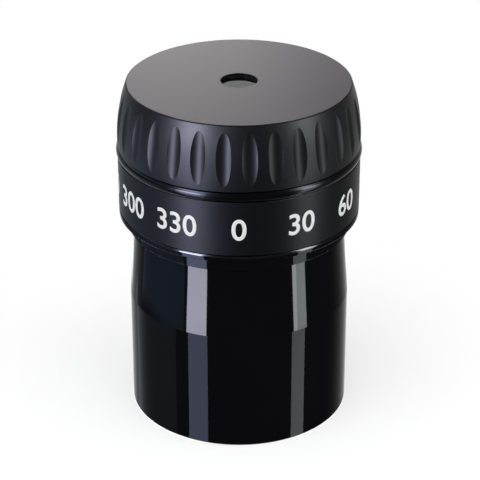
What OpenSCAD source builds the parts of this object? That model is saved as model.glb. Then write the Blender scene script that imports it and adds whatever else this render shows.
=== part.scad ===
// Telescope eyepiece with a 1.25 inch barrel: two cemented doublets face each other in a
// flanged cell, inside a housing that a fluted grip cap and an undercut barrel screw onto.
// Z runs up the optical axis, from the mouth of the barrel at z = 0 to the eye.
// Screw threads are plain cylinders at their outer size, a thread gap apart.

/* [Barrel] */
// Outside diameter of the barrel, which slides into the focuser
barrel_d = 31.75; // [28:0.05:40]
// Height of the plain cylinder, from the mouth to the undercut
barrel_grip_h = 17.7; // [12:0.1:24]
// Height of the tapered safety undercut
undercut_h = 10.55; // [6:0.05:14]
// Depth of the undercut at its upper end, on the radius
undercut_depth = 0.77; // [0.3:0.01:1]
// Height of the full-diameter land above the undercut
land_h = 2.1; // [1:0.1:4]
// Wall between the barrel's outside and its bore
barrel_wall = 1.975; // [1.7:0.025:2.4]
// Wall left outside the filter thread at the mouth
mouth_wall = 1.625; // [1.2:0.025:1.65]
// Depth of the filter thread
filter_thread_h = 4.6; // [3:0.1:8]
// Thickness of the flange that stops the barrel against the sleeve
flange_h = 0.95; // [0.7:0.05:2]
// Rounding of the flange's upper corner
flange_round = 0.4; // [0.2:0.05:0.6]
// Length of the threaded spigot above the flange
spigot_h = 4.5; // [3:0.1:6]
// Wall of the spigot
spigot_wall = 1.3; // [1:0.05:2]

/* [Housing and sleeve] */
// Height of the label sleeve
sleeve_h = 8; // [6.6:0.1:12]
// Wall of the label sleeve
sleeve_wall = 0.8; // [0.5:0.05:1.5]
// Wall of the housing's skirt, inside the sleeve
skirt_wall = 1.1; // [0.8:0.05:2]
// How far the web, which carries the lens cell, reaches below the shoulder
web_drop = 1.3; // [1:0.1:2]
// How far the web's top stands above the shoulder
web_rise = 1.7; // [1:0.1:2.5]
// Height of the neck that the cap screws onto, above the shoulder
neck_h = 5.3; // [4:0.1:6]
// Wall of the neck
neck_wall = 1.5; // [1:0.1:2]
// Height of the collar that the cell's lock ring screws into
collar_h = 2.8; // [2.5:0.1:4]
// Wall of that collar
collar_wall = 1.4; // [1:0.1:2]

/* [Accent ring] */
// Height of the ring between the sleeve and the cap
accent_h = 1.45; // [1:0.05:2]
// How far the bead stands out past the sleeve
accent_proud = 0.2; // [0:0.05:0.4]
// How deep the creases on both sides of the bead are, from its crest
crease_depth = 0.45; // [0.2:0.05:0.6]

/* [Grip cap] */
// Height of the cap
cap_h = 9.16; // [7.6:0.01:11]
// Radius of the convex arc of the cap's side
cap_side_r = 23.3; // [18:0.1:40]
// Height of the arc's widest point above the cap's lower rim
cap_apex_h = 1.15; // [0.5:0.05:3]
// Wall of the cap's skirt at its widest point
cap_wall = 2.2; // [1.8:0.1:3]
// Thickness of the cap's top plate
cap_plate_t = 2; // [1.6:0.1:2.5]
// Thickness left round the eye hole, over the lens cell
eye_web_t = 0.3; // [0.25:0.05:0.8]
// Diameter of the eye hole
eye_hole_d = 5.1; // [4:0.1:5.6]
// Width of the bevel round the flat top
top_bevel = 0.12; // [0.05:0.01:0.5]
// Number of cone bands that make up the convex side
side_bands = 16; // [8:1:24]

/* [Flutes] */
// Number of flutes round the cap
flute_count = 30; // [12:1:32]
// Radius of the round cutter that makes a flute
flute_cutter_r = 2.2; // [1:0.05:3]
// Height of a flute's lower tip above the cap's rim
flute_foot = 0.8; // [0.4:0.05:2]
// Height of plain side above a flute's upper tip
flute_head = 0.95; // [0.4:0.05:2]
// Turn of the first flute from the front, towards +X, where the cap's thread stops
flute_turn = 5; // [0:0.1:30]

/* [Lens cell and optics] */
// Diameter of all four lens elements
lens_d = 6.4; // [5.8:0.05:7]
// Thickness of a flint element on the axis
flint_t = 0.8; // [0.6:0.05:1.2]
// Thickness of a crown element at its rim
crown_edge_t = 0.5; // [0.4:0.05:1]
// Radius of the cemented surface in each doublet
cement_r = 5; // [4.6:0.1:8]
// Radius of the convex faces that look at each other
crown_r = 6.2; // [5.5:0.1:9]
// Distance between the two convex faces on the axis
doublet_gap = 0.3; // [0.1:0.05:0.6]
// How far the lens cell reaches below the field stop
cell_tail = 1.1; // [0.5:0.1:2]
// Wall of the cell round the lenses
cell_wall = 1.78; // [1.6:0.02:2.2]
// Thickness of the lip that holds the eye doublet
cell_lip_t = 0.2; // [0.2:0.05:0.5]
// Width of that lip
cell_lip_w = 0.4; // [0.2:0.05:0.45]
// Width of the cell's flange past its tube
cell_flange_w = 2.5; // [1.5:0.1:3]
// Thickness of the cell's flange
cell_flange_t = 1.2; // [0.8:0.1:2]
// Thickness of the ring that locks the cell down
lock_ring_t = 1.2; // [0.8:0.1:1.5]
// Step on the radius from the lens bore to the cell's threaded end
cell_thread_step = 0.48; // [0.3:0.02:0.6]
// How far the threaded end runs past the field doublet's flat face
cell_thread_runout = 0.2; // [0.1:0.05:0.5]
// Wall of the spacer between the doublets
spacer_wall = 0.34; // [0.2:0.02:0.6]
// Thickness of the ring that retains the field doublet
retainer_t = 1.2; // [0.8:0.1:1.5]
// Wall of that ring
retainer_wall = 1.25; // [0.8:0.05:1.4]
// Distance from the field doublet down to the field stop's upper face
stop_drop = 1.5; // [1.4:0.1:2]
// Thickness of the field stop
stop_t = 0.9; // [0.8:0.1:1.2]
// Diameter of the hole in the field stop
stop_hole_d = 3.8; // [3:0.1:5]
// Bevel under the hole, which leaves a sharp upper edge
stop_bevel = 0.4; // [0.2:0.05:0.6]
// Width of a spanner slot in the slotted rings
slot_w = 0.8; // [0.5:0.1:1.2]
// Depth of a spanner slot
slot_depth = 0.5; // [0.3:0.05:0.7]

/* [Fits] */
// Radial gap between screwed pieces
thread_gap = 0.05; // [0.02:0.01:0.1]
// Radial gap between pieces that slip together
slip_gap = 0.05; // [0.02:0.01:0.1]
// Radial gap round a lens
lens_gap = 0.02; // [0.01:0.01:0.05]
// Axial gap where faces seat
seat_gap = 0.03; // [0:0.01:0.1]
// Layer of cement in a doublet
cement_t = 0.01; // [0.01:0.01:0.03]
// Gap round the cell's nose inside the cap, which turns about it
nose_gap = 0.35; // [0.3:0.05:0.6]
// Gap between the cell's nose and the cap above it
nose_head_gap = 0.05; // [0.05:0.01:0.2]
// Gap round the cell inside its lock ring
lock_ring_gap = 0.18; // [0.1:0.02:0.4]
// Bevel that breaks a sharp turned edge
edge_break = 0.1; // [0.05:0.01:0.2]

/* [Hidden] */
$fn = 180;
eps = 0.01;
anodised_gloss = [0.03, 0.03, 0.035];
anodised_satin = [0.12, 0.12, 0.13];
anodised_inner = [0.08, 0.08, 0.08];
glass_tint = [0.6, 0.75, 0.68, 0.5];

// Radii, from the barrel outwards
barrel_r = barrel_d / 2;
bore_r = barrel_r - barrel_wall;
mouth_r = barrel_r - mouth_wall;
neck_down_r = barrel_r - undercut_depth;
spigot_r = bore_r + spigot_wall;
skirt_in_r = spigot_r + thread_gap;
skirt_r = skirt_in_r + skirt_wall;
sleeve_in_r = skirt_r + slip_gap;
body_r = sleeve_in_r + sleeve_wall;
cap_in_r = body_r - cap_wall;
neck_r = cap_in_r - thread_gap;
accent_in_r = neck_r + slip_gap;
accent_r = body_r + accent_proud;

// Radii, from the lenses outwards
lens_r = lens_d / 2;
lens_bore_r = lens_r + lens_gap;
cell_r = lens_bore_r + cell_wall;
cell_thread_r = lens_bore_r + cell_thread_step;
cell_flange_r = cell_r + cell_flange_w;
collar_in_r = cell_flange_r + slip_gap;
ring_in_cell_r = cell_thread_r - thread_gap;

// Heights, from the mouth up
undercut_z = barrel_grip_h;
land_z = undercut_z + undercut_h;
flange_z = land_z + land_h;
flange_top = flange_z + flange_h;
sleeve_z = flange_top + seat_gap;
shoulder_z = sleeve_z + sleeve_h;
web_top = shoulder_z + web_rise;
web_z = shoulder_z - web_drop;
neck_top = shoulder_z + neck_h;
accent_z = shoulder_z + seat_gap;
accent_top = accent_z + accent_h;
cap_z = accent_top + seat_gap;
cap_top = cap_z + cap_h;
cap_roof = cap_top - cap_plate_t;

// How far a sphere of radius r has fallen away from its vertex at distance x from the axis
function sag(r, x) = r - sqrt(r * r - x * x);

// Heights, from the eye down
crown_t = crown_edge_t + sag(cement_r, lens_r) + sag(crown_r, lens_r);
doublet_t = flint_t + crown_t;
cell_top = cap_top - eye_web_t - nose_head_gap;
eye_face = cell_top - cell_lip_t - cement_t;
eye_vertex = eye_face - doublet_t;
field_vertex = eye_vertex - doublet_gap;
field_face = field_vertex - doublet_t;
retainer_top = field_face - seat_gap;
stop_top = field_face - stop_drop;
cell_z = stop_top - stop_t - cell_tail;

// Ring of rectangular section, from z0 to z1
module ring(r_in, r_out, z0, z1) {
  rotate_extrude() translate([r_in, z0]) square([r_out - r_in, z1 - z0]);
}

// Two spanner slots across a ring, cut down from z
module spanner_slots(r_out, z) {
  translate([-r_out - 1, -slot_w / 2, z]) cube([2 * r_out + 2, slot_w, slot_depth + 1]);
}

// Outside of the barrel, its flange and its spigot, as half a section
module barrel_outline() {
  polygon([
    [0, 0], [barrel_r - edge_break, 0], [barrel_r, edge_break], [barrel_r, undercut_z],
    [neck_down_r, land_z], [barrel_r - edge_break, land_z], [barrel_r, land_z + edge_break],
    [barrel_r, flange_z], [body_r - edge_break, flange_z], [body_r, flange_z + edge_break],
    [body_r, flange_top - flange_round], [body_r - flange_round, flange_top - flange_round],
    [body_r - flange_round, flange_top], [spigot_r, flange_top],
    [spigot_r, flange_top + spigot_h - edge_break],
    [spigot_r - edge_break, flange_top + spigot_h], [0, flange_top + spigot_h]
  ]);
  translate([body_r - flange_round, flange_top - flange_round]) circle(flange_round);
}

module barrel() {
  color(anodised_gloss) rotate_extrude() difference() {
    barrel_outline();
    translate([0, -1]) square([bore_r, flange_top + spigot_h + 2]);
    translate([0, -1]) square([mouth_r, filter_thread_h + 1]);
  }
}

module label_sleeve() {
  color(anodised_satin) rotate_extrude() polygon([
    [sleeve_in_r, sleeve_z], [body_r - edge_break, sleeve_z], [body_r, sleeve_z + edge_break],
    [body_r, shoulder_z - edge_break], [body_r - edge_break, shoulder_z],
    [sleeve_in_r, shoulder_z]
  ]);
}

// Skirt inside the sleeve, web with the cell's hole and the lock ring's collar, and neck
module housing() {
  collar_r = collar_in_r + collar_wall;
  neck_in_r = neck_r - neck_wall;
  tail_hole_r = cell_r + slip_gap;
  color(anodised_inner) rotate_extrude() polygon([
    [skirt_in_r + edge_break, sleeve_z], [skirt_r, sleeve_z], [skirt_r, shoulder_z],
    [neck_r, shoulder_z], [neck_r, neck_top - edge_break], [neck_r - edge_break, neck_top],
    [neck_in_r, neck_top], [neck_in_r, web_top], [collar_r, web_top],
    [collar_r, web_top + collar_h], [collar_in_r + edge_break, web_top + collar_h],
    [collar_in_r, web_top + collar_h - edge_break], [collar_in_r, web_top],
    [tail_hole_r, web_top], [tail_hole_r, web_z], [skirt_in_r, web_z],
    [skirt_in_r, sleeve_z + edge_break]
  ]);
}

// Bead ring: a flat-sided core with a round nose between two creases
module accent_ring() {
  bead_r = ((accent_h / 2) ^ 2 + crease_depth ^ 2) / (2 * crease_depth);
  color(anodised_gloss) rotate_extrude() {
    translate([accent_in_r, accent_z])
      square([accent_r - crease_depth - accent_in_r, accent_h]);
    intersection() {
      translate([accent_r - bead_r, accent_z + accent_h / 2]) circle(bead_r);
      translate([accent_r - crease_depth - eps, accent_z]) square([crease_depth + 1, accent_h]);
    }
  }
}

// Radius of the cap's convex side at height h above its rim
function cap_side(h) = body_r - sag(cap_side_r, h - cap_apex_h);

// One flute: a round cutter laid along the chord between the flute's two tips
module flute_cutter() {
  tip_low = flute_foot;
  tip_high = cap_h - flute_head;
  lean = atan2(cap_side(tip_low) - cap_side(tip_high), tip_high - tip_low);
  reach = tip_high - tip_low;
  translate([cap_side(tip_low), 0, cap_z + tip_low])
    rotate([0, -lean, 0])
      translate([flute_cutter_r, 0, -reach / 2])
        cylinder(r = flute_cutter_r, h = 2 * reach);
}

// Half a section of the solid cap: bevelled rim, convex side and flat top
module cap_outline() {
  side_h = cap_h - edge_break - top_bevel;
  polygon(concat(
    [[0, cap_z], [cap_side(0) - edge_break, cap_z]],
    [for (i = [0 : side_bands]) let (h = edge_break + side_h * i / side_bands)
      [cap_side(h), cap_z + h]],
    [[cap_side(cap_h) - top_bevel, cap_top], [0, cap_top]]
  ));
}

module grip_cap() {
  eye_r = eye_hole_d / 2;
  color(anodised_satin) difference() {
    rotate_extrude() difference() {
      cap_outline();
      // bore for the neck, room for the cell's nose, and the eye hole with its broken edge
      translate([0, cap_z - 1]) square([cap_in_r, cap_roof - cap_z + 1]);
      translate([0, cap_z]) square([cell_r + nose_gap, cap_h - eye_web_t]);
      polygon([
        [0, cap_z], [eye_r, cap_z], [eye_r, cap_top - edge_break],
        [eye_r + edge_break + 1, cap_top + 1], [0, cap_top + 1]
      ]);
    }
    for (i = [0 : flute_count - 1])
      rotate(flute_turn - 90 + i * 360 / flute_count) flute_cutter();
  }
}

module lens_cell() {
  color(anodised_inner) rotate_extrude() difference() {
    union() {
      polygon([
        [0, cell_z], [cell_r, cell_z], [cell_r, cell_top - edge_break],
        [cell_r - edge_break, cell_top], [0, cell_top]
      ]);
      translate([0, web_top]) square([cell_flange_r, cell_flange_t]);
    }
    // clear aperture, lens bore, and the threaded end
    translate([0, cell_z - 1]) square([lens_bore_r - cell_lip_w, cell_top - cell_z + 2]);
    translate([0, cell_z - 1]) square([lens_bore_r, cell_top - cell_lip_t - cell_z + 1]);
    translate([0, cell_z - 1])
      square([cell_thread_r, field_face + cell_thread_runout - cell_z + 1]);
  }
}

// Half a section of a doublet's crown, vertex at the origin and the cemented face on top
module crown_section() {
  intersection() {
    translate([0, crown_r]) circle(crown_r);
    translate([0, crown_t - cement_r]) circle(cement_r);
    square([lens_r, crown_t]);
  }
}

// The flint that caps it: flat outside, hollowed to the cemented face
module flint_section() {
  difference() {
    translate([0, crown_t - sag(cement_r, lens_r) + cement_t])
      square([lens_r, flint_t + sag(cement_r, lens_r) - cement_t]);
    translate([0, crown_t - cement_r]) circle(cement_r + cement_t);
  }
}

module eye_crown() {
  color(glass_tint) rotate_extrude() translate([0, eye_vertex]) crown_section();
}

module eye_flint() {
  color(glass_tint) rotate_extrude() translate([0, eye_vertex]) flint_section();
}

module field_crown() {
  color(glass_tint) rotate_extrude() translate([0, field_vertex]) mirror([0, 1]) crown_section();
}

module field_flint() {
  color(glass_tint) rotate_extrude() translate([0, field_vertex]) mirror([0, 1]) flint_section();
}

// The spacer touches each convex face at its own inner edge
module lens_spacer() {
  spacer_in_r = lens_r - spacer_wall;
  seat = sag(crown_r, spacer_in_r) - seat_gap;
  color(anodised_inner) ring(spacer_in_r, lens_r, field_vertex - seat, eye_vertex + seat);
}

module lens_retainer() {
  bottom = retainer_top - retainer_t;
  color(anodised_inner) difference() {
    ring(ring_in_cell_r - retainer_wall, ring_in_cell_r, bottom, retainer_top);
    mirror([0, 0, 1]) spanner_slots(ring_in_cell_r, -bottom - slot_depth);
  }
}

module field_stop() {
  bottom = stop_top - stop_t;
  hole_r = stop_hole_d / 2;
  color(anodised_inner) difference() {
    rotate_extrude() polygon([
      [hole_r, stop_top], [ring_in_cell_r, stop_top], [ring_in_cell_r, bottom],
      [hole_r + stop_bevel, bottom]
    ]);
    mirror([0, 0, 1]) spanner_slots(ring_in_cell_r, -bottom - slot_depth);
  }
}

module cell_lock_ring() {
  bottom = web_top + cell_flange_t + seat_gap;
  color(anodised_inner) difference() {
    ring(cell_r + lock_ring_gap, collar_in_r - thread_gap, bottom, bottom + lock_ring_t);
    spanner_slots(collar_in_r, bottom + lock_ring_t - slot_depth);
  }
}

barrel();
label_sleeve();
housing();
accent_ring();
grip_cap();
lens_cell();
eye_flint();
eye_crown();
lens_spacer();
field_crown();
field_flint();
lens_retainer();
field_stop();
cell_lock_ring();
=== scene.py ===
"""Looks of the telescope eyepiece: finishes, marking, threads, lights and camera. Units are metres.

Most CAD nodes stay as they are and only get a finish. A copy of the housing with its thread cut in
stands for the housing, and one piece of glass stands for each cemented pair of lenses. The numbers
on the sleeve and the filter thread in the mouth are added.
"""

import math

import bmesh
import bpy
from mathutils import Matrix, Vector

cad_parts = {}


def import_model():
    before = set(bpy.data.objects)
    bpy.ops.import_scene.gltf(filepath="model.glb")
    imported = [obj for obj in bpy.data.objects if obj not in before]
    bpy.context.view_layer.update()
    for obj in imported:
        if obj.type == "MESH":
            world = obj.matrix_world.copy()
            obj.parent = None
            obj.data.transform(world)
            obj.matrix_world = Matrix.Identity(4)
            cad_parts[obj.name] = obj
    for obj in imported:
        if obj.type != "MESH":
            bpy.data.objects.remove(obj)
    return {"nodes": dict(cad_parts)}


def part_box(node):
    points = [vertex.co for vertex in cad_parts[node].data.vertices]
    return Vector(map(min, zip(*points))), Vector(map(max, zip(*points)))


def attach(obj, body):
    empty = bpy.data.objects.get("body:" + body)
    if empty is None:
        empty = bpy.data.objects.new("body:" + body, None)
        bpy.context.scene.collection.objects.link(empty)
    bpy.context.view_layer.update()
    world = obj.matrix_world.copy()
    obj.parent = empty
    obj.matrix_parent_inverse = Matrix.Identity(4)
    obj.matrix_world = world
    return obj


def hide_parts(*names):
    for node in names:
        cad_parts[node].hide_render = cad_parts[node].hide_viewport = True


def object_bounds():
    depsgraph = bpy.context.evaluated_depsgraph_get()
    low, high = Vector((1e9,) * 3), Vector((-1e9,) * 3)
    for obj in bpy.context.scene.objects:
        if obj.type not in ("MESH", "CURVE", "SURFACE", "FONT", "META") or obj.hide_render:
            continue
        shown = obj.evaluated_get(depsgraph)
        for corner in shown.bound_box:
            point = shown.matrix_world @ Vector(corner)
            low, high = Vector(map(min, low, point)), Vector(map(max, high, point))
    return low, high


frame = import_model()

cad_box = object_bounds()
NODES = frame["nodes"]
MM = 0.001
TAU = 2 * math.pi
TINY = 1e-6

# Sizes that the frame gives
BODY_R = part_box("label_sleeve")[1].x
SLEEVE_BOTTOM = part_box("label_sleeve")[0].z
NECK_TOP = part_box("housing")[1].z
ACCENT_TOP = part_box("accent_ring")[1].z
HEIGHT = cad_box[1].z

# Cap's thread on the housing's neck, which the CAD leaves as a plain cylinder. The groove fades out
# over SCREW_RUN_OUT at its lower end and over SCREW_LEAD_IN at its upper end. GROOVE_LAND is the
# share of the pitch that stays flat at the crest, and as much stays flat at the root.
SCREW_PITCH = 0.75 * MM
SCREW_THREAD_DEPTH = 0.4 * MM
SCREW_END_GAP = 0.35 * MM
SCREW_RUN_OUT = SCREW_PITCH
SCREW_LEAD_IN = SCREW_PITCH / 3
GROOVE_LAND = 0.12
STEPS_PER_PITCH = 12
HOUSING_SEGMENTS = 192

# Filter thread in the mouth. The ridge's foot and crest are half widths, as shares of the pitch, and
# RIDGE_SUNK is the share of its depth that it reaches into the wall.
MOUTH_R = 14.25 * MM
MOUTH_DEPTH = 4.6 * MM
FILTER_PITCH = 0.6 * MM
FILTER_THREAD_DEPTH = 0.33 * MM
FILTER_END_GAP = 0.2 * MM
RIDGE_FOOT = 0.46
RIDGE_CREST = 0.06
RIDGE_SUNK = 0.15
STEPS_PER_TURN = 96

# Rounded upper corner of the barrel's flange, just under the sleeve, and its centre
FLANGE_GAP = 0.03 * MM
FLANGE_ROUND = 0.4 * MM
FLANGE_CORNER = BODY_R - FLANGE_ROUND, SLEEVE_BOTTOM - FLANGE_GAP - FLANGE_ROUND

# Just past the wall of the eye hole
EYE_R = 2.56 * MM

# Convex face of a doublet, and the bevel round a lens. Near its rim, a face of the mesh is part of
# the blackened edge where less of its normal than EDGE_TURN lies along the axis.
CROWN_R = 6.2 * MM
LENS_BEVEL = 0.08 * MM
LENS_RINGS = 24
LENS_SEGMENTS = 128
EDGE_TURN = 0.9

# Marking. NUMERAL_STEP is in degrees, and NUMERAL_BOLD and CAP_HEIGHT_OF_FONT in the font's units.
NUMERAL_HEIGHT = 3.2 * MM
NUMERAL_BASE = SLEEVE_BOTTOM + 2.47 * MM
NUMERAL_STEP = 30
NUMERAL_BOLD = 0.014
NUMERAL_CURVE_STEPS = 6
CAP_HEIGHT_OF_FONT = 0.73
INK_THICKNESS = 0.012 * MM
BEND_STEP = 0.25 * MM

# Stage. AMBIENT is the world's strength as light, and where it is seen its strength is 1. The floor
# starts to fade at FLOOR_FADE and is clear from FLOOR_CLEAR to its rim.
AMBIENT = 0.6
FLOOR_R = 60 * MM
FLOOR_FADE = 48 * MM
FLOOR_CLEAR = 59 * MM
FLOOR_SEGMENTS = 96
FLOOR_DROP = 0.02 * MM
FLOOR_ALBEDO = 0.5
FLOOR_GLOW = 0.52
FLOOR_GLOSS = 0.2

# Camera, with the lens and the sensor in millimetres as Blender wants them
CAMERA_ELEVATION = math.radians(27.14)
CAMERA_DISTANCE = 277.9 * MM
CAMERA_AIM = Vector((0.138, 0, 25.01)) * MM
CAMERA_LENS = 143.6
CAMERA_SENSOR = 36


# ---------------------------------------------------------------- node helpers

# Places of a Mix node's sockets, several of which share a name
MIX_VECTOR_A, MIX_VECTOR_RESULT = 4, 1
MIX_COLOUR_A, MIX_COLOUR_RESULT = 6, 2


class Shader:
    """A material with a Principled shader, and short calls for the nodes that feed it."""

    def __init__(self, name):
        self.material = bpy.data.materials.new(name)
        self.material.use_nodes = True
        self.tree = self.material.node_tree
        self.principled = self.tree.nodes["Principled BSDF"]
        self.place = self.node("ShaderNodeTexCoord").outputs["Object"]

    def node(self, kind, **settings):
        made = self.tree.nodes.new(kind)
        for key, value in settings.items():
            setattr(made, key, value)
        return made

    def link(self, source, socket):
        if isinstance(source, (int, float)):
            socket.default_value = source
        else:
            self.tree.links.new(source, socket)

    def math(self, operation, a, b=0.0):
        made = self.node("ShaderNodeMath", operation=operation)
        self.link(a, made.inputs[0])
        self.link(b, made.inputs[1])
        return made.outputs[0]

    def times(self, first, *others):
        for other in others:
            first = self.math("MULTIPLY", first, other)
        return first

    def parts(self, vector):
        made = self.node("ShaderNodeSeparateXYZ")
        self.link(vector, made.inputs[0])
        return made.outputs

    def span(self, value, low, high, to_low=0.0, to_high=1.0):
        """Maps value from low..high to to_low..to_high, and clamps it there."""
        made = self.node("ShaderNodeMapRange")
        for socket, item in zip(made.inputs, (value, low, high, to_low, to_high)):
            self.link(item, socket)
        return made.outputs[0]

    def blend(self, factor, first, second):
        """first where factor is 0 and second where it is 1, for values."""
        rest = self.math("SUBTRACT", 1.0, factor)
        return self.math("ADD", self.times(factor, second), self.times(rest, first))

    def noise(self, scale, detail=2.0, roughness=0.5):
        made = self.node("ShaderNodeTexNoise")
        made.inputs["Scale"].default_value = scale
        made.inputs["Detail"].default_value = detail
        made.inputs["Roughness"].default_value = roughness
        self.link(self.place, made.inputs["Vector"])
        return made.outputs["Fac"]

    def radius_and_height(self):
        x, y, z = self.parts(self.place)
        squares = self.math("ADD", self.times(x, x), self.times(y, y))
        return self.math("SQRT", squares), z

    def lathe_lines(self, spacing):
        """Fine turning marks: noise along the turned profile, the same all the way round."""
        radius, height = self.radius_and_height()
        made = self.node("ShaderNodeTexNoise", noise_dimensions="1D")
        made.inputs["Scale"].default_value = 1 / spacing
        self.link(self.math("ADD", radius, height), made.inputs["W"])
        return made.outputs["Fac"]

    def normal(self):
        return self.node("ShaderNodeNewGeometry").outputs["Normal"]

    def upper_edge(self):
        """1 where a surface turns upwards, as on the rounded edge of the flange."""
        return self.span(self.parts(self.normal())[2], low=0.12, high=0.2)

    def corner_normal(self, corner_r, corner_z):
        """The exact normal on a corner rounded about (corner_r, corner_z), and the mesh's elsewhere.

        The mesh is too coarse there to mirror a lamp cleanly.
        """
        x, y, _ = self.parts(self.place)
        radius, height = self.radius_and_height()
        out = self.math("SUBTRACT", radius, corner_r)
        up = self.math("SUBTRACT", height, corner_z)
        lean = self.math("DIVIDE", out, radius)
        exact = self.node("ShaderNodeCombineXYZ")
        for socket, value in zip(exact.inputs, (self.times(x, lean), self.times(y, lean), up)):
            self.link(value, socket)
        turned = self.node("ShaderNodeVectorTransform", vector_type="NORMAL",
                           convert_from="OBJECT", convert_to="WORLD")
        self.link(exact.outputs[0], turned.inputs[0])
        chosen = self.node("ShaderNodeMix", data_type="VECTOR")
        past = self.times(self.math("GREATER_THAN", out), self.math("GREATER_THAN", up))
        self.link(past, chosen.inputs["Factor"])
        self.link(self.normal(), chosen.inputs[MIX_VECTOR_A])
        self.link(turned.outputs[0], chosen.inputs[MIX_VECTOR_A + 1])
        return chosen.outputs[MIX_VECTOR_RESULT]

    def worn_edge(self):
        """1 on the 45 degree edge breaks that face down, which are painted bare grey as wear and as
        painted glint lines.

        It is 0 less than 3 mm left or right of the axis and full from 8 mm, so the painted glint lines
        show on the sides and not at the front and back.
        """
        down = self.times(self.parts(self.normal())[2], -1.0)
        steep = self.span(down, low=0.55, high=0.66)
        shallow = self.span(down, low=0.86, high=0.75)
        sideways = self.math("ABSOLUTE", self.parts(self.place)[0])
        glint_sides = self.span(sideways, low=3 * MM, high=8 * MM)
        patchy = self.span(self.noise(scale=420, detail=3), low=0.3, high=0.6, to_low=0.7)
        return self.times(steep, shallow, glint_sides, patchy)

    def mix_colour(self, factor, first, second):
        made = self.node("ShaderNodeMix", data_type="RGBA")
        self.link(factor, made.inputs["Factor"])
        sockets = made.inputs[MIX_COLOUR_A], made.inputs[MIX_COLOUR_A + 1]
        for socket, colour in zip(sockets, (first, second)):
            if isinstance(colour, tuple):
                socket.default_value = (*colour, 1)
            else:
                self.link(colour, socket)
        return made.outputs[MIX_COLOUR_RESULT]

    def colour(self, source):
        self.link(source, self.principled.inputs["Base Color"])

    def rough(self, source):
        self.link(source, self.principled.inputs["Roughness"])

    def bump(self, height, depth, before=None):
        made = self.node("ShaderNodeBump")
        made.inputs["Strength"].default_value = 1.0
        made.inputs["Distance"].default_value = depth
        self.link(height, made.inputs["Height"])
        if before is not None:
            self.link(before, made.inputs["Normal"])
        self.link(made.outputs[0], self.principled.inputs["Normal"])
        return made.outputs[0]

    def constants(self, **values):
        for key, value in values.items():
            self.principled.inputs[key.replace("_", " ")].default_value = value


# ---------------------------------------------------------------- materials

WHITE = (1.0, 1.0, 1.0)
# Bare grey of the down-facing edge breaks and its roughness: wear, and painted glint lines on the left
# and right
GLINT_AND_WEAR_GREY = (0.36, 0.36, 0.37)
GLINT_AND_WEAR_ROUGHNESS = 0.3

# How far the anodising's tone goes up and down, how much brighter the colour is painted on upward-facing
# surfaces as a painted highlight, and their roughness
UNEVENNESS = 0.12
PAINTED_HIGHLIGHT_GAIN = 2.0
UPPER_EDGE_ROUGHNESS = 0.13

# Inside the barrel's bore and the cap's eye hole, and the width over which each finish gives way
BORE_BLACK = (0.009, 0.009, 0.0088)
BORE_ROUGHNESS = 0.62
BORE_BORDER = 0.1 * MM
# The eye hole's wall is painted about ten times darker than the cap's black, as painted shade in that
# recess
EYE_WALL_BLACK_AND_SHADE = (0.0003, 0.0003, 0.0003)
EYE_WALL_ROUGHNESS = 0.7
EYE_WALL_BORDER = 0.03 * MM


def scaled(colour, factor):
    return tuple(part * factor for part in colour)


def anodised(s, black, edge, glint_and_wear, painted_highlight=False):
    """A black metal's colour, bare grey on the down-facing edge breaks as wear and painted glint lines,
    and, if asked, brighter on upward-facing surfaces as a painted highlight.

    The lower edge is, the later the reflection grows towards the limb.
    """
    s.constants(Metallic=1.0)
    s.link(s.mix_colour(glint_and_wear, scaled(WHITE, edge), WHITE), s.principled.inputs["Specular Tint"])
    low, high = scaled(black, 1 - UNEVENNESS), scaled(black, 1 + UNEVENNESS)
    skin = s.mix_colour(s.noise(scale=90, detail=3), low, high)
    # Painted highlight: a brighter colour on upward-facing surfaces, mainly the flange's rounded corner
    if painted_highlight:
        skin = s.mix_colour(s.upper_edge(), skin, scaled(black, PAINTED_HIGHLIGHT_GAIN))
    return s.mix_colour(glint_and_wear, skin, GLINT_AND_WEAR_GREY)


def gloss_black(name, black, edge, smooth, rougher, glint_and_wear_strength, corner=None):
    """Polished and black anodised outside, matt black inside the bore, with down-facing edges painted
    bare grey as wear and painted glint lines.

    corner is the centre, as radius and height, of a rounded upper edge, which gets its exact normal;
    with it, upward-facing surfaces get a painted highlight in their colour and their own roughness.
    """
    s = Shader(name)
    radius, _ = s.radius_and_height()
    outside = s.span(radius, MOUTH_R, MOUTH_R + BORE_BORDER)
    glint_and_wear = s.times(s.worn_edge(), glint_and_wear_strength)
    skin = anodised(s, black, edge, glint_and_wear, painted_highlight=corner is not None)
    s.colour(s.mix_colour(outside, BORE_BLACK, skin))
    smears = s.noise(scale=260, detail=4, roughness=0.6)
    smear = s.blend(glint_and_wear, s.span(smears, 0.35, 0.75, smooth, rougher), GLINT_AND_WEAR_ROUGHNESS)
    normal = None
    if corner is not None:
        smear = s.blend(s.upper_edge(), smear, UPPER_EDGE_ROUGHNESS)
        normal = s.corner_normal(*corner)
    s.rough(s.blend(outside, BORE_ROUGHNESS, smear))
    s.bump(s.lathe_lines(spacing=0.05 * MM), depth=0.00006 * MM, before=normal)
    return s.material


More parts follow.
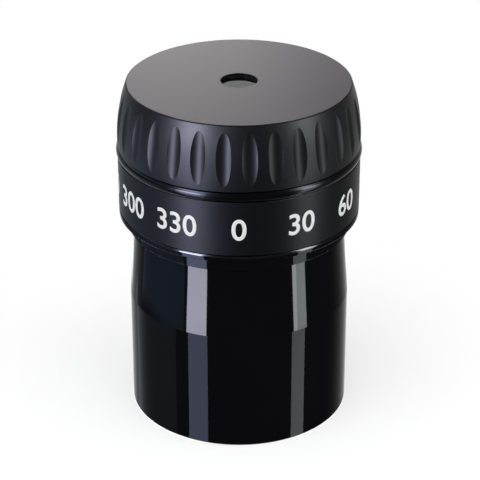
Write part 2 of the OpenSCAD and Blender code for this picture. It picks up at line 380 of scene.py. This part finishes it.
def satin_black(name, black, edge, smooth, rougher, glint_and_wear_strength):
    """Bead-blasted and black anodised, with faint turning marks and edges painted bare grey as wear and
    painted glint lines, and matt and painted near black inside the eye hole as painted shade.
    """
    s = Shader(name)
    radius, _ = s.radius_and_height()
    outside = s.span(radius, EYE_R, EYE_R + EYE_WALL_BORDER)
    glint_and_wear = s.times(s.worn_edge(), glint_and_wear_strength)
    s.colour(s.mix_colour(outside, EYE_WALL_BLACK_AND_SHADE, anodised(s, black, edge, glint_and_wear)))
    grain = s.noise(scale=9000, roughness=0.6)
    s.rough(s.blend(outside, EYE_WALL_ROUGHNESS, s.span(grain, 0.3, 0.7, smooth, rougher)))
    lines = s.bump(s.lathe_lines(spacing=0.11 * MM), depth=0.0006 * MM)
    s.bump(grain, depth=0.0015 * MM, before=lines)
    return s.material


def matt_black():
    """Inside finish that keeps stray light down."""
    s = Shader("matt_black_anodised")
    s.constants(Specular_IOR_Level=0.03)
    skin = s.noise(scale=300, detail=4)
    s.colour(s.mix_colour(skin, (0.007, 0.007, 0.0072), (0.012, 0.012, 0.0118)))
    s.rough(s.span(s.noise(scale=4000, detail=3), 0.3, 0.7, 0.5, 0.66))
    s.bump(s.lathe_lines(spacing=0.14 * MM), depth=0.004 * MM)
    return s.material


def glass():
    """Polished glass with the green cast of its coating, and a trace of dust."""
    s = Shader("coated_glass")
    s.constants(Transmission_Weight=1.0, IOR=1.52, Specular_Tint=(0.55, 0.68, 0.6, 1.0))
    dust = s.span(s.noise(scale=5000), 0.7, 0.85)
    s.colour(s.mix_colour(dust, (0.9, 0.97, 0.92), (0.8, 0.82, 0.8)))
    s.rough(s.span(dust, 0.0, 1.0, 0.0, 0.08))
    return s.material


def edge_paint():
    """Dull black paint on a lens's ground edge, which stops light that would bounce there."""
    s = Shader("lens_edge_paint")
    s.constants(Specular_IOR_Level=0.03)
    cover = s.noise(scale=2500, detail=3)
    s.colour(s.mix_colour(cover, (0.004, 0.004, 0.004), (0.009, 0.009, 0.009)))
    s.rough(s.span(s.noise(scale=7000), 0.3, 0.7, 0.55, 0.75))
    return s.material


def white_ink():
    """Screen-printed marking: slightly uneven cover and a soft edge of gloss."""
    s = Shader("white_ink")
    s.constants(Specular_IOR_Level=0.08)
    cover = s.noise(scale=1600, detail=3)
    s.colour(s.mix_colour(cover, (0.8, 0.8, 0.81), (0.9, 0.9, 0.9)))
    s.rough(s.span(s.noise(scale=6000), 0.3, 0.7, 0.42, 0.58))
    s.bump(s.noise(scale=9000), depth=0.001 * MM)
    return s.material


# ---------------------------------------------------------------- pieces

def add_piece(name, mesh, materials, body):
    for material in materials:
        mesh.materials.append(material)
    piece = bpy.data.objects.new(name, mesh)
    bpy.context.scene.collection.objects.link(piece)
    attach(piece, body)
    return piece


def half_section(node):
    """The closed outline of a turned node, as (radius, height) points, read from its mesh at y = 0."""
    place, beside = {}, {}
    mesh = NODES[node].data
    spot = {v.index: (round(v.co.x / TINY), round(v.co.z / TINY)) for v in mesh.vertices
            if abs(v.co.y) < TINY / 10 and v.co.x > 0}
    for index, key in spot.items():
        place[key] = (mesh.vertices[index].co.x, mesh.vertices[index].co.z)
    for edge in mesh.edges:
        a, b = (spot.get(index) for index in edge.vertices)
        if a and b and a != b:
            beside.setdefault(a, set()).add(b)
            beside.setdefault(b, set()).add(a)
    walk = [min(beside), min(beside[min(beside)])]
    while True:
        onward = next(key for key in beside[walk[-1]] if key != walk[-2])
        if onward == walk[0]:
            return [place[key] for key in walk]
        walk.append(onward)


def smooth_shading(mesh, sharp):
    """Smooth shading, apart from edges past an angle in degrees."""
    mesh.shade_smooth()
    mesh.set_sharp_from_angle(angle=math.radians(sharp))


def revolve(name, rows, radius_at, closed, segments):
    """A mesh of rows swept round the axis. radius_at(radius, height, angle) shapes each point."""
    points, faces = [], []
    count = len(rows)
    for i in range(segments):
        angle = TAU * i / segments
        for radius, height in rows:
            r = radius_at(radius, height, angle)
            points.append((r * math.cos(angle), r * math.sin(angle), height))
        ahead = (i + 1) % segments
        for j in range(count if closed else count - 1):
            k = (j + 1) % count
            faces.append((i * count + j, ahead * count + j, ahead * count + k, i * count + k))
    mesh = bpy.data.meshes.new(name)
    mesh.from_pydata(points, [], faces)
    tidy = bmesh.new()
    tidy.from_mesh(mesh)
    bmesh.ops.remove_doubles(tidy, verts=tidy.verts[:], dist=TINY / 10)
    bmesh.ops.recalc_face_normals(tidy, faces=tidy.faces[:])
    tidy.to_mesh(mesh)
    tidy.free()
    smooth_shading(mesh, sharp=38)
    return mesh


def threaded_housing(material):
    """The housing with the cap's thread cut into its neck, as a right-hand V groove."""
    outline = half_section("housing")
    neck_r = max(r for r, z in outline if z > NECK_TOP - SCREW_PITCH)
    low, high = ACCENT_TOP + SCREW_END_GAP, NECK_TOP - SCREW_END_GAP
    step = SCREW_PITCH / STEPS_PER_PITCH
    rows = []
    for (r0, z0), (r1, z1) in zip(outline, outline[1:] + outline[:1]):
        rows.append((r0, z0))
        if abs(r0 - neck_r) < TINY and abs(r1 - neck_r) < TINY:
            cuts = [low + step * i for i in range(int((high - low) / step) + 1)]
            rows += [(neck_r, z) for z in (cuts if z1 > z0 else reversed(cuts))]

    def radius_at(radius, height, angle):
        if abs(radius - neck_r) > TINY or not low < height < high:
            return radius
        turn = (height / SCREW_PITCH - angle / TAU) % 1
        ramp = (1 - abs(2 * turn - 1) - GROOVE_LAND) / (1 - 2 * GROOVE_LAND)
        groove = min(1.0, max(0.0, ramp))
        fade = min(1.0, (height - low) / SCREW_RUN_OUT, (high - height) / SCREW_LEAD_IN)
        return radius - SCREW_THREAD_DEPTH * groove * fade

    mesh = revolve("housing_threaded", rows, radius_at, True, HOUSING_SEGMENTS)
    piece = add_piece("housing_threaded", mesh, [material], "core")
    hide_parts("housing")


def doublet(name, flint, crown, materials):
    """A cemented pair as one piece of glass: flat outer face, blackened edge, convex inner face."""
    outward = 1 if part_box(flint)[1].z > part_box(crown)[1].z else -1
    flat, vertex = (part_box(flint)[1].z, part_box(crown)[0].z) if outward > 0 else (
        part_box(flint)[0].z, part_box(crown)[1].z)
    lens_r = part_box(flint)[1].x

    def convex(radius):
        return vertex + outward * (CROWN_R - math.sqrt(CROWN_R ** 2 - radius ** 2))

    rim = lens_r - LENS_BEVEL
    rows = [(0.0, flat), (rim / 2, flat), (rim, flat), (lens_r, flat - outward * LENS_BEVEL)]
    rings = [lens_r * i / LENS_RINGS for i in range(LENS_RINGS, -1, -1)]
    rows += [(radius, convex(radius)) for radius in rings]
    mesh = revolve(name, rows, lambda radius, height, angle: radius, False, LENS_SEGMENTS)
    piece = add_piece(name, mesh, materials, "core")
    for face in mesh.polygons:
        middle = math.hypot(face.center.x, face.center.y)
        face.material_index = int(middle > rim and abs(face.normal.z) < EDGE_TURN)
    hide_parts(flint, crown)


def on_band(across, up, out):
    """A point of the flat marking, rolled onto the sleeve: across is the arc length from the front."""
    angle = across / BODY_R
    r = BODY_R + out
    return (r * math.sin(angle), -r * math.cos(angle), up)


def flat_numeral(text):
    """The filled outline of a number, as a flat mesh."""
    curve = bpy.data.curves.new("numeral", "FONT")
    curve.body = text
    curve.align_x = "CENTER"
    curve.size = 1.0
    curve.offset = NUMERAL_BOLD
    curve.resolution_u = NUMERAL_CURVE_STEPS
    holder = bpy.data.objects.new("numeral", curve)
    bpy.context.scene.collection.objects.link(holder)
    bpy.context.view_layer.update()
    flat = bpy.data.meshes.new_from_object(holder.evaluated_get(bpy.context.evaluated_depsgraph_get()))
    bpy.data.objects.remove(holder)
    return flat


def sliced_numeral(text):
    """A number's flat mesh at its real size, cut into narrow strips so that it bends, and its middle."""
    bm = bmesh.new()
    bm.from_mesh(flat_numeral(text))
    for v in bm.verts:
        v.co *= NUMERAL_HEIGHT / CAP_HEIGHT_OF_FONT
    left = min(v.co.x for v in bm.verts)
    right = max(v.co.x for v in bm.verts)
    cuts = max(2, int((right - left) / BEND_STEP))
    for i in range(1, cuts):
        x = left + (right - left) * i / cuts
        bmesh.ops.bisect_plane(bm, geom=bm.verts[:] + bm.edges[:] + bm.faces[:],
                               plane_co=(x, 0, 0), plane_no=(1, 0, 0))
    bm.verts.index_update()
    return bm, (left + right) / 2


def bent_numeral(angle):
    """One number as a thin layer of ink on the sleeve, with a front, a back and sides."""
    bm, middle = sliced_numeral(str(angle))
    start = math.radians(angle) * BODY_R - middle
    points = [on_band(start + v.co.x, NUMERAL_BASE + v.co.y, out)
              for out in (INK_THICKNESS, -INK_THICKNESS) for v in bm.verts]
    behind = len(bm.verts)
    faces = []
    for face in bm.faces:
        front = [v.index for v in face.verts]
        faces += [front, [behind + i for i in reversed(front)]]
    for edge in bm.edges:
        if edge.is_boundary:
            i, j = (v.index for v in edge.verts)
            faces.append((i, j, behind + j, behind + i))
    bm.free()
    part = bpy.data.meshes.new("part")
    part.from_pydata(points, [], faces, shade_flat=False)
    return part


def numerals(material):
    """A ring of plain numbers round the sleeve, as on a dial."""
    joined = bmesh.new()
    for angle in range(0, 360, NUMERAL_STEP):
        joined.from_mesh(bent_numeral(angle))
    bmesh.ops.recalc_face_normals(joined, faces=joined.faces[:])
    mesh = bpy.data.meshes.new("band_numerals")
    joined.to_mesh(mesh)
    joined.free()
    add_piece("band_numerals", mesh, [material], "sleeve")


def filter_thread(material):
    """The filter thread as one closed ribbon: a V ridge that winds up the mouth and fades out."""
    turns = (MOUTH_DEPTH - FILTER_END_GAP - FILTER_PITCH) / FILTER_PITCH
    count = int(turns * STEPS_PER_TURN)
    quarter = STEPS_PER_TURN / 4
    points, faces = [], []
    sunk = MOUTH_R + FILTER_THREAD_DEPTH * RIDGE_SUNK
    foot, flat = FILTER_PITCH * RIDGE_FOOT, FILTER_PITCH * RIDGE_CREST
    for i in range(count + 1):
        angle = TAU * i / STEPS_PER_TURN
        fade = min(1.0, i / quarter, (count - i) / quarter)
        height = FILTER_END_GAP + FILTER_PITCH * (0.5 + i / STEPS_PER_TURN)
        crest = MOUTH_R - FILTER_THREAD_DEPTH * fade
        for r, dz in ((sunk, -foot), (crest, -flat), (crest, flat), (sunk, foot)):
            points.append((r * math.cos(angle), r * math.sin(angle), height + dz))
        if i:
            a, b = 4 * (i - 1), 4 * i
            faces += [(a + k, a + (k + 1) % 4, b + (k + 1) % 4, b + k) for k in range(4)]
    faces.append((0, 1, 2, 3))
    faces.append(tuple(4 * count + k for k in (3, 2, 1, 0)))
    mesh = bpy.data.meshes.new("filter_thread")
    mesh.from_pydata(points, [], faces)
    smooth_shading(mesh, sharp=50)
    add_piece("filter_thread", mesh, [material], "barrel")


# ---------------------------------------------------------------- stage

def seen_rays(tree):
    """1 for camera, glossy and transmission rays, and 0 for the rest."""
    path = tree.nodes.new("ShaderNodeLightPath")
    total = path.outputs["Is Camera Ray"]
    for key in ("Is Glossy Ray", "Is Transmission Ray"):
        made = tree.nodes.new("ShaderNodeMath")
        made.operation = "MAXIMUM"
        tree.links.new(total, made.inputs[0])
        tree.links.new(path.outputs[key], made.inputs[1])
        total = made.outputs[0]
    return total


def world():
    """White where it is seen, and dimmer as light."""
    made = bpy.data.worlds.new("studio")
    bpy.context.scene.world = made
    made.use_nodes = True
    tree = made.node_tree
    background = tree.nodes["Background"]
    background.inputs["Color"].default_value = (1, 1, 1, 1)
    span = tree.nodes.new("ShaderNodeMapRange")
    tree.links.new(seen_rays(tree), span.inputs["Value"])
    span.inputs["To Min"].default_value = AMBIENT
    span.inputs["To Max"].default_value = 1.0
    tree.links.new(span.outputs[0], background.inputs["Strength"])


def floor_material():
    """Pale and slightly polished, white where nothing shades it, and clear towards its rim."""
    material = bpy.data.materials.new("pale_floor")
    material.use_nodes = True
    tree = material.node_tree
    tree.nodes.clear()

    def node(kind, operation=None, **inputs):
        made = tree.nodes.new(kind)
        if operation:
            made.operation = operation
        for key, value in inputs.items():
            made.inputs[key].default_value = value
        return made

    def scaled(source, factor):
        made = node("ShaderNodeMath", "MULTIPLY")
        tree.links.new(source, made.inputs[0])
        made.inputs[1].default_value = factor
        return made.outputs[0]

    def mixed(factor, first, second):
        made = node("ShaderNodeMixShader")
        for socket, source in zip(made.inputs, (factor, first, second)):
            tree.links.new(source, socket)
        return made.outputs[0]

    diffuse = node("ShaderNodeBsdfDiffuse", Color=(FLOOR_ALBEDO, FLOOR_ALBEDO, FLOOR_ALBEDO, 1))
    glow = node("ShaderNodeEmission", Color=(1, 1, 1, 1))
    tree.links.new(scaled(seen_rays(tree), FLOOR_GLOW), glow.inputs["Strength"])
    both = node("ShaderNodeAddShader")
    tree.links.new(diffuse.outputs[0], both.inputs[0])
    tree.links.new(glow.outputs[0], both.inputs[1])
    polish = scaled(node("ShaderNodeLightPath").outputs["Is Glossy Ray"], FLOOR_GLOSS)
    surface = mixed(polish, both.outputs[0], node("ShaderNodeBsdfGlossy", Roughness=0.0).outputs[0])
    length = node("ShaderNodeVectorMath", "LENGTH")
    tree.links.new(node("ShaderNodeTexCoord").outputs["Object"], length.inputs[0])
    fade = node("ShaderNodeMapRange", **{"From Min": FLOOR_FADE, "From Max": FLOOR_CLEAR})
    fade.interpolation_type = "SMOOTHSTEP"
    tree.links.new(length.outputs["Value"], fade.inputs["Value"])
    out = node("ShaderNodeOutputMaterial")
    rim = mixed(fade.outputs[0], surface, node("ShaderNodeBsdfTransparent").outputs[0])
    tree.links.new(rim, out.inputs[0])
    return material


def floor():
    """Round floor that fades into the white background, with the object's soft shadow.

    It stays under the barrel when that is screwed down, as a table would under an eyepiece stood on it.
    """
    bm = bmesh.new()
    bmesh.ops.create_circle(bm, cap_ends=True, segments=FLOOR_SEGMENTS, radius=FLOOR_R)
    mesh = bpy.data.meshes.new("floor")
    bm.to_mesh(mesh)
    bm.free()
    mesh.materials.append(floor_material())
    piece = bpy.data.objects.new("floor", mesh)
    piece.location.z = -FLOOR_DROP
    bpy.context.scene.collection.objects.link(piece)
    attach(piece, "barrel")


# Distance of the strips, of the high lamps at the sides, of those behind and of the plain ones
STRIP_DISTANCE = 0.40
HIGH_DISTANCE = 0.40
BACK_DISTANCE = 0.45
PLAIN_DISTANCE = 0.50

# Height that the strips' elevations are measured from
STRIP_LEVEL = 20 * MM

# Azimuth and half width of the strips, in degrees
LEFT_STRIP = -43.7, 10.7
RIGHT_STRIP = 64.6, 7.8

# Tints in red, green and blue
PLAIN = (1.0, 1.0, 1.0)
WARM = (1.0, 0.97, 0.95)
COOL = (0.95, 0.97, 1.0)
SKY = (0.73, 0.86, 1.0)
BLUE = (0.64, 0.73, 1.0)
DEEP_BLUE = (0.42, 0.65, 1.0)
OLIVE = (0.93, 1.0, 0.87)
PLUM = (1.0, 0.75, 1.0)

# Zones of the strips: lowest and highest elevation in degrees, then the left strip's tint and level
# and the right strip's. From the camera, the flange's land mirrors the first zone, the barrel's cone
# the second, the sleeve and the cap's lower side the third, the cap's upper side the fourth and the
# bead the fifth. The cylinder mirrors them in the floor.
ZONES = (
    (-34.0, -24.5, (BLUE, 32), (OLIVE, 17)),
    (-24.0, -16.0, (COOL, 90), (OLIVE, 44)),
    (-16.0, 4.0, (BLUE, 82), (OLIVE, 32)),
    (4.0, 20.0, (COOL, 255), (OLIVE, 102)),
    (20.0, 36.0, (BLUE, 112), (OLIVE, 106)),
)


def softbox(name, azimuth, elevation, distance, size, tint, level, mirrored=True):
    """A rectangular lamp that faces the object. Azimuth is in degrees, from the camera towards +X.

    Its level is its radiance. A mirrored lamp shows only in reflections, and any other lights only
    diffuse surfaces.
    """
    lamp = bpy.data.lights.new(name, "AREA")
    lamp.shape = "RECTANGLE"
    lamp.size, lamp.size_y = size
    lamp.energy = level * size[0] * size[1] * math.pi
    lamp.color = tint
    piece = bpy.data.objects.new(name, lamp)
    bpy.context.scene.collection.objects.link(piece)
    a, e = math.radians(azimuth), math.radians(elevation)
    away = Vector((math.sin(a) * math.cos(e), -math.cos(a) * math.cos(e), math.sin(e)))
    piece.location = Vector((0, 0, HEIGHT / 2)) + away * distance
    piece.rotation_euler = away.to_track_quat("Z", "Y").to_euler()
    piece.visible_camera = False
    piece.visible_transmission = False
    piece.visible_glossy = mirrored
    piece.visible_diffuse = not mirrored
    return piece


def strip(name, azimuth, half_width, low, high, tint, level):
    """An upright strip lamp between two elevations in degrees."""
    bottom, top = (STRIP_DISTANCE * math.tan(math.radians(e)) for e in (low, high))
    width = 2 * STRIP_DISTANCE * math.tan(math.radians(half_width))
    piece = softbox(name, azimuth, 0, STRIP_DISTANCE, (width, top - bottom), tint, level)
    piece.location.z = STRIP_LEVEL + (bottom + top) / 2


def lights():
    for i, (low, high, left, right) in enumerate(ZONES):
        strip(f"left_{i}", *LEFT_STRIP, low, high, *left)
        strip(f"right_{i}", *RIGHT_STRIP, low, high, *right)

    # A thin line beside the cone's right highlight, and a sheen down the left side
    strip("right_edge", 59.2, 2.2, -24.0, -16.0, OLIVE, 25)
    strip("left_panel", -90, 32, -34, -5, DEEP_BLUE, 2.6)
    strip("left_panel_top", -104, 34, 24, 36, SKY, 8)

    # Highlights on the bead and on the flange's rounded corner
    softbox("left_high", -51, 47, HIGH_DISTANCE, (0.13, 0.10), SKY, 148)
    softbox("right_high", 73, 46, HIGH_DISTANCE, (0.075, 0.10), PLAIN, 110)

    # Sheen of the flat top and of the eye lens
    softbox("back_low", -176, 17, BACK_DISTANCE, (0.10, 0.08), WARM, 19)
    softbox("back_high", -176, 38, BACK_DISTANCE, (0.10, 0.12), PLUM, 7.5)
    softbox("back_left", -163, 17, BACK_DISTANCE, (0.10, 0.08), SKY, 7.5)
    softbox("back_right", 171, 17, BACK_DISTANCE, (0.10, 0.08), COOL, 3.6)

    # Light on the numbers and the floor
    softbox("key", -40, 62, PLAIN_DISTANCE, (0.45, 0.45), PLAIN, 1.9, mirrored=False)
    softbox("fill", 60, 50, PLAIN_DISTANCE, (0.45, 0.45), PLAIN, 1.1, mirrored=False)


def camera():
    """The viewing angle: 27 degrees above the horizon, with a long lens."""
    data = bpy.data.cameras.new("camera")
    data.sensor_width = CAMERA_SENSOR
    data.lens = CAMERA_LENS
    data.clip_start = 0.01
    data.clip_end = 10
    piece = bpy.data.objects.new("camera", data)
    bpy.context.scene.collection.objects.link(piece)
    away = Vector((0, -math.cos(CAMERA_ELEVATION), math.sin(CAMERA_ELEVATION)))
    piece.location = CAMERA_AIM + away * CAMERA_DISTANCE
    piece.rotation_euler = away.to_track_quat("Z", "Y").to_euler()
    bpy.context.scene.camera = piece


# ---------------------------------------------------------------- assembly

camera()
world()
floor()
lights()

matt = matt_black()
finishes = {
    "barrel": gloss_black("gloss_black_anodised", black=(0.0034, 0.0034, 0.0040), edge=0.53,
                          smooth=0.03, rougher=0.055, glint_and_wear_strength=0.9, corner=FLANGE_CORNER),
    "accent_ring": gloss_black("bead_black_anodised", black=(0.0025, 0.0025, 0.0031), edge=0.72,
                               smooth=0.18, rougher=0.23, glint_and_wear_strength=1.0),
    "label_sleeve": satin_black("band_black_anodised", black=(0.0027, 0.0027, 0.0032), edge=0.6,
                                smooth=0.35, rougher=0.42, glint_and_wear_strength=0.1),
    "grip_cap": satin_black("cap_black_anodised", black=(0.0031, 0.0031, 0.0036), edge=0.7,
                            smooth=0.36, rougher=0.44, glint_and_wear_strength=0.1),
}
for name, node in NODES.items():
    for place in node.material_slots:
        place.material = finishes.get(name, matt)

lens_materials = [glass(), edge_paint()]
doublet("eye_doublet", "eye_flint", "eye_crown", lens_materials)
doublet("field_doublet", "field_flint", "field_crown", lens_materials)
threaded_housing(matt)
filter_thread(matt)
numerals(white_ink())

bpy.context.scene.view_settings.view_transform = "Standard"
